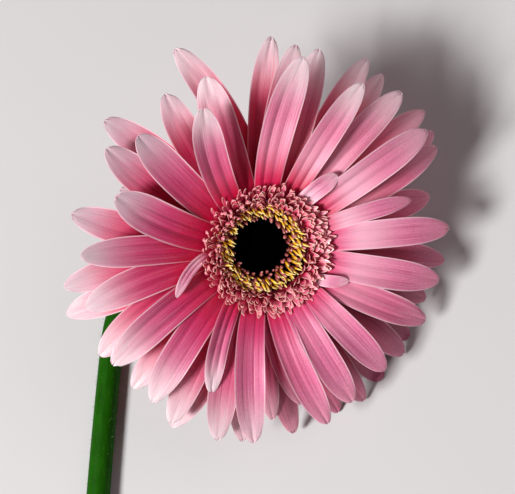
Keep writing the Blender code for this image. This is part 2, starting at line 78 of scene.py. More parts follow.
# Where the fill light comes from, in the camera's frame.
FILL_FROM = np.array((0.5, 0.5, 0.9))

# Each light's distance, size, power and colour.
KEY_LIGHT = (1.6, 0.46, 32.5, (1.0, 0.98, 0.98))
FILL_LIGHT = (1.1, 0.8, 2.1, (1.0, 0.80, 0.86))

SURROUND_COLOUR = (1.0, 0.98, 0.98, 1.0)
SURROUND_STRENGTH = 0.07

FLOOR_SIZE = 6.0
FLOOR_DROP = 0.0002
FLOOR_COLOURS = [(0.60, 0.598, 0.595, 1.0), (0.65, 0.648, 0.645, 1.0)]

# The stem, as in the solids, measured from the head's centre.
STEM_TOP = 12.4 * MM
NECK_PULL = 22.0 * MM
NECK_FOOT = np.array((-56.0, -22.0)) * MM
NECK_FOOT_PULL = np.array((0.5, 36.0)) * MM
LYING_PULL = np.array((-3.5, -72.0)) * MM
CUT_END = np.array((-38.0, -292.0)) * MM
CUT_END_PULL = np.array((-22.0, 80.0)) * MM
NECK_RADIUS = 2.9 * MM
FOOT_RADIUS = 3.4 * MM
CUT_END_RADIUS = 3.7 * MM
STEM_FLAT_DEPTH = 0.25 * MM
STEM_SIDES = 40
NECK_STEPS = 60
LYING_STEPS = 150

# The cut end's rings: the share of its radius, and how far each is sunk, in millimetres.
CUT_STEPS = [
    (0.985, -0.06), (0.93, -0.10), (0.88, 0.04), (0.60, 0.10),
    (0.34, 0.18), (0.26, 0.75), (0.10, 0.9),
]
CUT_SPACING = 0.02 * MM
CUT_PALING = 6.0

# Down over the stem, kept this far off the side that it lies on.
HAIRS = 2600
HAIR_SEED = 67
HAIR_CLEARANCE = 0.8 * MM
HAIR_SUNK = 0.05 * MM
HAIR_SCATTER = 1.0
HAIR_LEAN = 0.5
HAIR_LENGTH_DRAW = (0.5, 1.1)
HAIR_RADII = np.array((0.035, 0.028, 0.012)) * MM
HAIR_SIDES = 3
HAIR_PALENESS = 0.42

# Blades: the cells along and across, and the thickness in the middle and at the edge.
RAY_BLADE = ((50, 28), 0.34 * MM, 0.10 * MM)
TRANS_BLADE = ((12, 8), 0.20 * MM, 0.10 * MM)
BRACT_BLADE = ((12, 6), 0.50 * MM, 0.15 * MM)

# Ray florets, as in the solids, one row each: the bearings of the tip and of the root in degrees,
# the tip's reach and the greatest width in millimetres, how far back the ray lies, and its roll.
RAYS = [
    (7, 9, 50.5, 8.0, 0.0, 0),
    (-5, 0, 52.5, 7.6, 1.3, 0),
    (-10, -12, 49.0, 8.6, 0.1, 0),
    (-18, -16, 50.0, 7.8, 1.5, 0),
    (-24, -27, 50.0, 8.2, 0.4, 0),
    (-32, -30, 52.0, 7.6, 1.6, 0),
    (-37, -36, 51.5, 8.0, 1.2, 0),
    (-45, -44, 47.5, 7.8, 0.0, 0),
    (-47, -49, 55.5, 8.0, 1.8, 0),
    (-56, -58, 53.5, 7.6, 1.2, 0),
    (-60, -62, 48.5, 8.0, 0.0, 0),
    (-64, -69, 54.0, 7.2, 1.7, 0),
    (-70, -78, 51.0, 7.6, 0.2, 0),
    (-76, -86, 44.5, 5.6, 0.7, 35),
    (-79, -84, 55.0, 7.2, 1.6, 0),
    (-86, -90, 48.5, 6.0, 1.1, 0),
    (-94, -101, 52.0, 8.4, 0.0, 0),
    (-95, -103, 55.0, 7.2, 1.2, 0),
    (-104, -111, 53.5, 8.4, 0.5, 0),
    (-112, -122, 40.5, 5.8, -0.3, -30),
    (-115, -108, 57.0, 8.0, 1.9, 0),
    (-118, -123, 54.0, 8.2, 1.0, 0),
    (-128, -135, 50.5, 8.6, 0.0, 0),
    (-133, -137, 52.0, 8.4, 1.2, 0),
    (-145, -152, 50.5, 9.0, 0.0, 0),
    (-148, -158, 52.5, 9.2, 0.9, 0),
    (-161, -164, 56.0, 8.8, 1.8, 0),
    (-164, -171, 50.0, 8.8, 0.4, 0),
    (-170, -177, 54.5, 8.2, 1.1, 0),
    (-180, -183, 49.0, 8.0, 0.2, 0),
    (169, 174, 52.5, 9.0, 1.2, 0),
    (159, 167, 42.5, 10.0, 0.0, 0),
    (157, 162, 41.5, 8.0, 1.7, 0),
    (147, 154, 50.5, 9.4, 0.7, 0),
    (141, 136, 55.0, 9.0, 1.6, 0),
    (138, 143, 46.0, 9.0, 0.0, 0),
    (123, 128, 49.5, 8.8, 1.4, 0),
    (114, 99, 58.5, 8.4, 1.8, 0),
    (115, 127, 41.5, 8.4, -0.2, 0),
    (110, 112, 49.0, 9.4, 0.7, 0),
    (88, 94, 57.0, 7.6, 1.5, 0),
    (82, 88, 55.5, 7.6, 1.1, 0),
    (81, 90, 52.0, 8.6, 0.0, 0),
    (76, 76, 55.5, 8.2, 0.8, 0),
    (61, 65, 59.0, 7.6, 1.5, 0),
    (62, 66, 51.0, 7.2, -0.2, 0),
    (54, 55, 58.5, 7.4, 1.9, 0),
    (50, 54, 56.0, 8.0, 0.3, 0),
    (40, 43, 58.5, 8.0, 1.3, 0),
    (38, 38, 53.5, 8.4, 0.0, 0),
    (33, 29, 58.0, 7.6, 1.7, 0),
    (30, 26, 55.5, 8.0, 0.9, 0),
    (16, 18, 49.5, 8.4, 1.6, 0),
    (20, 23, 41.0, 5.0, -0.3, 20),
    (-155, -178, 27.0, 3.0, -0.9, 0),
    (-20, -31, 24.0, 3.4, -0.7, 0),
    (48, 54, 27.5, 5.0, -0.7, 0),
]
RAY_SEED = 11
RAY_FINE_SEED = 101
RAY_ROOT = 12.6 * MM
RAY_TOP = -0.1 * MM
RAY_LAYER_STEP = 0.78 * MM
RAY_FOREMOST = -0.3
RAY_HINDMOST = 1.9
RAY_FRONT_DEPTH = 0.65

# How the rays stand: the high side is the one that leans up, away from the face's bearing.
RAY_SEEN_SLOPE = math.radians(9.0)
RAY_SLOPE_STEP = math.radians(-9.0)
RAY_SLOPE_DRAW = 1.5
RAY_LOWERED = math.radians(2.0)
RAY_UPRIGHT = math.radians(8.0)
RAY_LONG = 38.0 * MM
RAY_SHORT_RISE = math.radians(10.0)
RAY_ARCH_HIGH_SIDE = math.radians(7.0)
RAY_ARCH_LOW_SIDE = math.radians(22.0)
RAY_STEEPEST_START = math.radians(31.0)
RAY_LATE_CURL = 1.5
RAY_TIP_DROP_HIGH_SIDE = 1.2 * MM
RAY_TIP_DROP_LOW_SIDE = 1.6 * MM
RAY_TIP_DROP_DRAW = (0.6, 1.3)
RAY_ROLL_SHARE = 0.3
RAY_ROLL_DRAW = 5.0

# The outline of a ray, in shares of its length and of its greatest width, and the teeth of its tip.
RAY_PULL = 0.45
RAY_WIDEST = 0.62
RAY_ROOT_WIDTH = 0.72
RAY_TIP_WIDTH = 0.10
RAY_TIP_FULLNESS = 2.7
RAY_TIP_ROUNDING = 0.62
RAY_NOSE = 0.35
RAY_TEETH = 1.5
RAY_TEETH_FROM = 0.965
RAY_NOTCH_DRAW = (0.3, 1.1)

# The relief of a ray. Depths are in millimetres, places and breadths in shares of its half width.
RAY_CUP = 0.20
RAY_CUP_DRAW = (0.6, 1.4)
RAY_FOLD_PLACES = (-0.38, 0.36)
RAY_FOLD_SHIFT = 0.1
RAY_FOLD_DRAW = (0.22, 0.50)
RAY_FOLD_BREADTH = 0.20
RAY_MIDDLE_FOLD = 0.12
RAY_FULL_FOLD_WIDTH = 8.0
RAY_RIB = 0.13 * MM
RAY_RIB_DRAW = (0.3, 1.0)
RAY_RIB_COUNT_DRAW = (2.2, 3.0)
RAY_WAVES = 1.7
RAY_WAVE_DRAW = (0.05, 0.25)
RAY_CREASE_DRAW = (0.05, 0.35)
RAY_CREASE_BREADTH = 0.22
RAY_CLEARANCE = 0.325 * MM
RAY_EASE = 2.0 * MM

# The stray florets stand up more than the rays behind them. Painted light makes them pale, and
# they have no folds: a fold at twice the half width lies off the ray.
STRAY_DEPTH = -0.5
STRAY_SLOPE = math.radians(25.0)
STRAY_START = math.radians(37.0)
STRAY_LOWERED_HIGH_SIDE = math.radians(6.0)
STRAY_COLOURING = {"flush": 0.11, "pale": 1.2, "left_fold": 2.0, "right_fold": 2.0}

# Painted shade and light by bearing: on the key light's side the rays' crimson reaches further as
# painted shade and their tips get painted light; on the far side their roots get painted light.
PAINTED_KEY_SIDE_BEARING = math.radians(157.0)
PAINTED_KEY_SIDE_NARROWING = 1.6
PAINTED_LIGHT_BEARING = math.radians(22.0)
PAINTED_LIGHT_NARROWING = 3

# What each point of a ray knows: where on the ray it is, and how the ray is coloured, painted light and
# shade included.
RAY_VALUES = [
    "along", "across", "back", "tint", "left_fold", "right_fold", "flush", "pale", "behind", "dim",
]

# The ring under the rays, as a profile of radii and heights.
RAY_COLLAR = [(10.9, 1.0), (14.6, 1.0), (15.0, -1.9), (10.9, -1.9)]
ROUND_SIDES = 64

# Trans florets, in rings from the inside out: the radius at the root and at the tip, how many, the
# rise and the width, in millimetres.
TRANS_RINGS = [
    (11.4, 12.4, 42, 3.5, 1.3),
    (11.8, 13.3, 50, 3.7, 1.5),
    (12.2, 14.2, 56, 3.6, 1.6),
    (12.7, 15.1, 58, 3.4, 1.7),
    (13.2, 16.0, 58, 3.1, 1.7),
    (13.7, 16.9, 56, 2.7, 1.7),
    (14.1, 17.8, 52, 2.2, 1.6),
    (14.3, 18.6, 18, 1.9, 1.1),
]
TRANS_SEED = 23
TRANS_ROOT_HEIGHT = 2.3 * MM
TRANS_TURN_UP_FLAT = (0.25, 0.60)
TRANS_TURN_UP_UPRIGHT = (-0.05, 0.20)
TRANS_CURL_DRAW = (-0.6, 0.4)
TRANS_YAW = 0.8
TRANS_FOLD_DRAW = (0.2, 1.3)
TRANS_SWING = 0.07
TRANS_BEND = 0.6
TRANS_HOOK_DRAW = (0.6, 2.6)
TRANS_BED = [(10.9, 2.7), (13.9, 2.7), (14.3, 2.1), (10.9, 1.5)]

# The disc lies off the ring's middle, and the short straps around it make up for that.
DISC_SHIFT = np.array((-2.1, 1.6)) * MM
DISC_OUTER = 11.8 * MM
TRANS_OUTER = 18.0 * MM
TRANS_OUTER_SHIFT = np.array((-0.5, 0.9)) * MM

# On this side the straps stand up and curl in over the disc; on the other they are wide and flat.
UPRIGHT_BEARING = math.radians(150.0)

# The florets' common lean towards the photograph's lower right, as a slope.
FLORET_LEAN = 0.20 * np.array((math.cos(FACE_BEARING), math.sin(FACE_BEARING)))

# Anthers and buds of the disc, in rings: the radius at the root, how many, and the height. The
# inner rings of buds are slim and stand round the dark middle.
DISC_SEED = 37
ANTHER_RINGS = [(8.6, 24, 4.6), (9.3, 34, 5.2), (10.1, 40, 5.5), (10.9, 40, 5.3), (11.6, 30, 4.8)]
ANTHER_RADIUS = 0.30 * MM
ANTHER_HOOK_DRAW = (0.4, 1.7)
ANTHER_SIDES = 8
BUD_RINGS = [
    (8.0, 28, 2.7), (8.4, 26, 3.2), (9.0, 28, 3.7),
    (9.9, 30, 4.1), (10.7, 32, 4.3), (11.5, 34, 4.3),
]
INNER_BUD_RINGS = 2
BUD_RADIUS = 0.68 * MM
INNER_BUD_RADIUS = 0.52 * MM
BUD_SIDES = 10
FLORET_STEPS = 9

# The dome of closed buds, which stands on a turned foot and sinks towards its rim.
CENTRE_PROFILE = [
    (0.0, -0.5), (2.6, -0.6), (4.6, -0.9), (6.2, -1.2),
    (8.4, -1.3), (8.4, -1.9), (0.0, -1.95),
]
CENTRE_SIDES = 48
CENTRE_RADIUS = 7.5 * MM
CENTRE_BUDS = 150
CENTRE_BUD_RADIUS = 0.42 * MM
CENTRE_BUD_HEIGHT = 0.9
CENTRE_BUD_FOOT = -0.9
CENTRE_DIP = 0.9
CENTRE_BUD_STEPS = 5
CENTRE_BUD_SIDES = 6

# The wall round the dome: its radius and height inside and outside, over its foot.
CENTRE_FOOT = -1.9 * MM
CENTRE_WALL_RADII = (7.4, 10.6)
CENTRE_WALL_HEIGHTS = (1.2, 2.6)

# Bracts, in rows: the radius and height of the root and of the tip, how many, and the width.
BRACT_SEED = 51
BRACT_ROWS = [
    ((12.8, -7.6), (19.4, -5.5), 22, 3.0),
    ((10.6, -9.3), (17.6, -7.4), 20, 2.8),
    ((8.2, -10.6), (15.6, -9.0), 17, 2.6),
]
CUP_PROFILE = [
    (0.0, -2.2), (12.6, -2.2), (15.2, -3.8), (14.2, -6.4),
    (11.0, -9.4), (6.4, -11.6), (0.0, -12.1),
]


def lean(bearing, angle):
    """A turn that tips the Z axis by an angle towards a bearing, with no spin."""
    swing = Matrix.Rotation(bearing, 3, "Z")
    return np.array(swing @ Matrix.Rotation(angle, 3, "Y") @ swing.inverted())


HEAD_TURN = lean(FACE_BEARING, FACE_LEAN)
FACE = HEAD_TURN[:, 2]
UP_SEEN_FROM_HEAD = HEAD_TURN[2, :]


def in_world(points):
    """Points of the head's own frame, in the world's."""
    return points @ HEAD_TURN.T + HEAD_CENTRE


def smoothstep(value, low=0.0, high=1.0):
    """An even rise from 0 at low to 1 at high."""
    share = np.clip((value - low) / (high - low), 0.0, 1.0)
    return share * share * (3.0 - 2.0 * share)


def polar(radius, bearing, height):
    """Points from arrays of radius, bearing and height."""
    radius, bearing, height = np.broadcast_arrays(radius, bearing, height)
    return np.stack((radius * np.cos(bearing), radius * np.sin(bearing), height), axis=-1)


class Pile:
    """Collects closed shapes into one mesh, with a value for each point under each name."""

    def __init__(self, *names):
        self.points = []
        self.faces = []
        self.values = {name: [] for name in names}
        self.count = 0

    def add(self, points, faces, **values):
        points = points.reshape(-1, 3)
        self.points.append(points)
        self.faces.extend(faces + self.count if isinstance(faces, np.ndarray) else
                          [[index + self.count for index in face] for face in faces])
        for name, stored in self.values.items():
            stored.append(np.broadcast_to(np.asarray(values.get(name, 0.0), float).ravel(), len(points)))
        self.count += len(points)

    def to_piece(self, name, look, node=None):
        """The pile as one smooth piece of the flower, in the world's frame."""
        mesh = bpy.data.meshes.new(name)
        mesh.from_pydata(np.concatenate(self.points), [], [tuple(face) for face in self.faces])
        for value_name, stored in self.values.items():
            layer = mesh.attributes.new(value_name, "FLOAT", "POINT")
            layer.data.foreach_set("value", np.concatenate(stored))
        mesh.materials.append(look)
        mesh.shade_smooth()
        mesh.set_sharp_from_angle(angle=CRISP_ANGLE)
        piece = bpy.data.objects.new(name, mesh)
        bpy.context.scene.collection.objects.link(piece)
        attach(piece, "root")
        if node:
            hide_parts(node)


def blade(pile, surface, cells, thickness, edge_thickness, **values):
    """A closed leaf of tapering thickness over surface(along, across)."""
    cells_along, cells_across = cells
    steps_along = np.linspace(0, 1, cells_along + 1)
    steps_across = np.linspace(-1, 1, cells_across + 1)
    along, across = np.meshgrid(steps_along, steps_across, indexing="ij")
    middle = surface(along, across)
    normal = np.cross(np.gradient(middle, axis=0), np.gradient(middle, axis=1))
    normal /= np.maximum(np.linalg.norm(normal, axis=-1, keepdims=True), 1e-12)
    edge = np.maximum(np.abs(across) ** 6, smoothstep(along, 0.93, 1.0))
    half = (thickness + (edge_thickness - thickness) * edge)[..., None] / 2
    points = in_world(np.stack((middle + normal * half, middle - normal * half)))

    columns = cells_across + 1
    under = (cells_along + 1) * columns
    row, column = np.meshgrid(np.arange(cells_along), np.arange(cells_across), indexing="ij")
    corner = (row * columns + column).ravel()
    top = np.stack((corner, corner + columns, corner + columns + 1, corner + 1), axis=1)
    rim = np.concatenate((
        np.arange(cells_along) * columns,
        cells_along * columns + np.arange(cells_across),
        np.arange(cells_along, 0, -1) * columns + cells_across,
        np.arange(cells_across, 0, -1),
    ))
    after = np.roll(rim, -1)
    side = np.stack((rim + under, after + under, after, rim), axis=1)
    faces = np.concatenate((top, top[:, ::-1] + under, side))
    values.update(along=along, across=across)
    both = {name: np.stack((np.broadcast_to(value, along.shape),) * 2) for name, value in values.items()}
    both["back"] = np.stack((np.zeros_like(along), np.ones_like(along)))
    pile.add(points, faces, **both)


def tube(pile, route, radii, sides, **values):
    """A closed round tube along a route of the world's frame."""
    ahead = np.gradient(route, axis=0)
    ahead /= np.linalg.norm(ahead, axis=1, keepdims=True)
    reference = np.array((0.0, 0.0, 1.0)) if abs(ahead[0][2]) < 0.8 else np.array((0.0, 1.0, 0.0))
    frames = []
    for direction in ahead:
        side = np.cross(direction, reference)
        side /= np.linalg.norm(side)
        reference = np.cross(side, direction)
        frames.append((side, reference))
    angle = np.linspace(0, TAU, sides, endpoint=False)
    rings = [
        place + radius * (np.cos(angle)[:, None] * side + np.sin(angle)[:, None] * up)
        for place, radius, (side, up) in zip(route, radii, frames)
    ]
    points = np.concatenate(rings + [route[:1], route[-1:]])
    count = len(route)
    ring, spoke = np.meshgrid(np.arange(count - 1), np.arange(sides), indexing="ij")
    near = (ring * sides + spoke).ravel()
    far = (ring * sides + (spoke + 1) % sides).ravel()
    faces = np.stack((near, near + sides, far + sides, far), axis=1).tolist()
    last = (count - 1) * sides
    for k in range(sides):
        after = (k + 1) % sides
        faces.append((k, after, count * sides))
        faces.append((last + after, last + k, count * sides + 1))
    along = np.concatenate((np.repeat(np.linspace(0, 1, count), sides), (0.0, 1.0)))
    around = np.concatenate((np.tile(angle, count), (0.0, 0.0)))
    pile.add(points, faces, along=along, around=around, **values)


def lifted(points):
    """Keep a ray's points above the surface, easing them in where they would sink."""
    height = (points @ HEAD_TURN.T)[..., 2] + HEAD_CENTRE[2]
    excess = height - RAY_CLEARANCE
    raised = RAY_EASE * np.exp((np.clip(excess, -20 * RAY_EASE, RAY_EASE) - RAY_EASE) / RAY_EASE)
    rise = np.where(excess > RAY_EASE, 0.0, raised - excess)
    return points + rise[..., None] * UP_SEEN_FROM_HEAD


class Ray:
    """One ray's middle surface, with fine creases that the solids leave out."""

    def __init__(self, row, draw, fine):
        tip_bearing, root_bearing, reach, self.width, self.depth, roll = row
        self.bearing = math.radians(tip_bearing)
        self.root = polar(RAY_ROOT, math.radians(root_bearing), 0.0)
        self.tip = polar(reach * MM, self.bearing, 0.0)
        self.length = np.linalg.norm(self.tip - self.root)
        self.pull = self.root + polar(self.length * RAY_PULL, math.radians(root_bearing), 0.0)
        self.root_height = RAY_TOP - RAY_LAYER_STEP * max(self.depth, RAY_FOREMOST)
        self.high_side = -math.cos(self.bearing - FACE_BEARING)
        self.high_share = 0.5 + 0.5 * self.high_side
        self.seen_slope = RAY_SEEN_SLOPE + RAY_SLOPE_STEP * self.depth
        self.seen_slope += math.radians(draw.uniform(-RAY_SLOPE_DRAW, RAY_SLOPE_DRAW))
        slope, self.start = self.slopes()
        self.fall = (math.tan(self.start) - math.tan(slope)) * self.length
        self.cup = RAY_CUP * draw.uniform(*RAY_CUP_DRAW)
        roll_draw = draw.uniform(-RAY_ROLL_DRAW, RAY_ROLL_DRAW)
        self.turn = math.radians(roll * RAY_ROLL_SHARE + roll_draw)
        self.draw_marks(fine)

    def slopes(self):
        """How steeply the ray stands over its whole length, and at its root."""
        if self.depth < STRAY_DEPTH:
            lowered = STRAY_LOWERED_HIGH_SIDE * self.high_share
            return STRAY_SLOPE - lowered, STRAY_START - lowered
        raised = RAY_UPRIGHT * max(self.high_side, 0.0) * max(1.0 - self.depth, 0.0)
        slope = self.seen_slope - RAY_LOWERED + raised
        slope += RAY_SHORT_RISE * max(1.0 - self.length / RAY_LONG, 0.0)
        arch = RAY_ARCH_LOW_SIDE + (RAY_ARCH_HIGH_SIDE - RAY_ARCH_LOW_SIDE) * self.high_share
        return slope, min(slope + arch, RAY_STEEPEST_START)

    def draw_marks(self, fine):
        """The waves, teeth, folds and ribs that are this ray's own."""
        self.wave = fine.uniform(*RAY_WAVE_DRAW) * MM
        self.wave_phase = fine.uniform(0.0, TAU)
        self.notch = fine.uniform(*RAY_NOTCH_DRAW) * MM
        self.notch_phase = fine.uniform(-0.5, 0.5)
        self.crease = fine.uniform(*RAY_CREASE_DRAW) * MM
        drop_gain = RAY_TIP_DROP_HIGH_SIDE - RAY_TIP_DROP_LOW_SIDE
        self.drop = RAY_TIP_DROP_LOW_SIDE + drop_gain * self.high_share
        self.drop *= fine.uniform(*RAY_TIP_DROP_DRAW) * self.length / RAY_LONG
        self.folds = []
        for place in RAY_FOLD_PLACES:
            place += fine.uniform(-RAY_FOLD_SHIFT, RAY_FOLD_SHIFT)
            share = min(self.width / RAY_FULL_FOLD_WIDTH, 1.0)
            self.folds.append((place, fine.uniform(*RAY_FOLD_DRAW) * share * MM))
        place = fine.uniform(-RAY_FOLD_SHIFT, RAY_FOLD_SHIFT)
        self.folds.append((place, fine.uniform(-RAY_MIDDLE_FOLD, RAY_MIDDLE_FOLD) * MM))
        self.rib_count = fine.uniform(*RAY_RIB_COUNT_DRAW)
        self.rib_phase = fine.uniform(0.0, TAU)
        self.rib = RAY_RIB * fine.uniform(*RAY_RIB_DRAW)

    def half_width(self, t):
        """Half the ray's width at a share of its length."""
        swelling = np.sin(math.pi / 2 * np.minimum(t / RAY_WIDEST, 1.0))
        rising = RAY_ROOT_WIDTH + (1.0 - RAY_ROOT_WIDTH) * swelling
        past = np.clip((t - RAY_WIDEST) / (1.0 - RAY_WIDEST), 0.0, 1.0)
        rounding = (1.0 - past ** RAY_TIP_FULLNESS) ** RAY_TIP_ROUNDING
        falling = RAY_TIP_WIDTH + (1.0 - RAY_TIP_WIDTH) * rounding
        return self.width * MM / 2 * np.where(t < RAY_WIDEST, rising, falling)

    def relief(self, t, across, half):
        """How far the cup, folds, ribs and waves lift each point."""
        middle = np.sin(math.pi * np.minimum(t * 1.15, 1.0)) ** 0.7
        cupped = smoothstep(t, 0.08, 0.60) * (1.0 - 0.85 * smoothstep(t, 0.76, 1.0))
        relief = self.cup * half * (across ** 2 * (1.6 - t) - 0.3) * cupped
        for place, fold in self.folds:
            relief -= fold * np.exp(-np.abs((across - place) / RAY_FOLD_BREADTH) ** 1.3) * middle
        relief += self.rib * np.cos(TAU * self.rib_count / 2 * across + self.rib_phase) * middle
        wave = self.wave * np.sin(TAU * RAY_WAVES * t + self.wave_phase)
        relief += wave * across ** 3 * smoothstep(t, 0.2, 0.6)
        crease = self.crease * np.exp(-(across / RAY_CREASE_BREADTH) ** 2)
        relief -= crease * smoothstep(t, 0.7, 1.0)
        return relief

    def surface(self, along, across):
        """Points of the middle surface, whose rows lie closer together towards the tip."""
        t = (1.0 - (1.0 - along) ** 1.25) ** 0.9
        s = 1.0 - t
        spine = s[..., None] ** 2 * self.root + (2 * s * t)[..., None] * self.pull
        spine += t[..., None] ** 2 * self.tip
        heading = s[..., None] * (self.pull - self.root) + t[..., None] * (self.tip - self.pull)
        heading /= np.linalg.norm(heading, axis=-1, keepdims=True)
        side = np.stack((-heading[..., 1], heading[..., 0], np.zeros_like(t)), axis=-1)
        run = t * self.length
        half = self.half_width(t)
        rise = math.tan(self.start) * run - self.fall * t ** (1.0 + RAY_LATE_CURL)
        rise -= self.drop * smoothstep(t, 0.64, 1.15) ** 1.5

        # A point that lies lower or higher than it seems to the camera moves along its view.
        moved = (math.tan(self.seen_slope) * run - rise) * SLANT
        spine += moved[..., None] * polar(1.0, FACE_BEARING, 0.0)
        spine[..., 2] = self.root_height + rise + self.relief(t, across, half)
        roll = self.turn * smoothstep(t * 2.0)
        point = spine + side * (across * half * np.cos(roll))[..., None]
        point[..., 2] += across * half * np.sin(roll)
        teeth = self.notch * (0.5 - 0.5 * np.cos(TAU * RAY_TEETH * (across + self.notch_phase)))
        teeth = teeth * smoothstep(t, RAY_TEETH_FROM, 1.0)
        ahead = half * RAY_NOSE * (1.0 - across ** 2) * smoothstep(t, 0.85, 1.0) - teeth
        point += heading * ahead[..., None]
        return lifted(point)


class Look:
    """A material's node tree, with short calls for the nodes that are used here."""

    def __init__(self, name):
        self.material = bpy.data.materials.new(name)
        self.material.use_nodes = True
        self.tree = self.material.node_tree
        self.shader = self.tree.nodes["Principled BSDF"]

    def link(self, value, socket):
        """Feed a socket from another node, or give it a plain value."""
        if isinstance(value, bpy.types.NodeSocket):
            self.tree.links.new(value, socket)
        else:
            socket.default_value = value

    def node(self, kind, inputs, **settings):
        """A new node with its settings, and its inputs by name or number."""
        node = self.tree.nodes.new("ShaderNode" + kind)
        for name, value in settings.items():
            setattr(node, name, value)
        for key, value in inputs.items():
            self.link(value, node.inputs[key])
        return node

    def attribute(self, name):
        return self.node("Attribute", {}, attribute_name=name).outputs["Fac"]

    def attributes(self, *names):
        return [self.attribute(name) for name in names]

    def math(self, operation, first, second=0.0, third=0.0):
        return self.node("Math", {0: first, 1: second, 2: third}, operation=operation).outputs[0]

    def times(self, first, second):
        return self.math("MULTIPLY", first, second)

    def step(self, value, low, high, to_low=0.0, to_high=1.0):
        """A smooth change between two results while the value goes from low to high."""
        inputs = dict(enumerate((value, low, high, to_low, to_high)))
        return self.node("MapRange", inputs, interpolation_type="SMOOTHSTEP").outputs[0]

    def mix(self, share, first, second):
        return self.node("Mix", {"Factor": share, 6: first, 7: second}, data_type="RGBA").outputs[2]

    def ramp(self, value, stops):
        node = self.node("ValToRGB", {0: value})
        elements = node.color_ramp.elements
        while len(elements) < len(stops):
            elements.new(0.5)
        for element, (place, colour) in zip(elements, stops):
            element.position = place
            element.color = colour
        return node.outputs[0]

    def vector(self, x, y, z):
        return self.node("CombineXYZ", {0: x, 1: y, 2: z}).outputs[0]

    def noise(self, place, scale, detail=2.0, roughness=0.5):
        inputs = {"Vector": place, "Scale": scale, "Detail": detail, "Roughness": roughness}
        return self.node("TexNoise", inputs).outputs["Fac"]

    def object_place(self):
        return self.node("TexCoord", {}).outputs["Object"]

    def bump(self, height, distance, strength):
        inputs = {"Height": height, "Distance": distance, "Strength": strength}
        self.link(self.node("Bump", inputs).outputs[0], self.shader.inputs["Normal"])

    def subsurface(self, weight, scale, radius):
        for name, value in (("Weight", weight), ("Scale", scale), ("Radius", radius)):
            self.shader.inputs["Subsurface " + name].default_value = value

    def finish(self, colour, roughness, specular=0.5):
        self.link(colour, self.shader.inputs["Base Color"])
        self.link(roughness, self.shader.inputs["Roughness"])
        self.shader.inputs["Specular IOR Level"].default_value = specular
        return self.material


def rgb(red, green, blue):
    """A colour of the 0 to 255 scale, as the renderer's linear values with full opacity."""
    def linear(value):
        value /= 255.0
        return value / 12.92 if value <= 0.04045 else ((value + 0.055) / 1.055) ** 2.4
    return (linear(red), linear(green), linear(blue), 1.0)


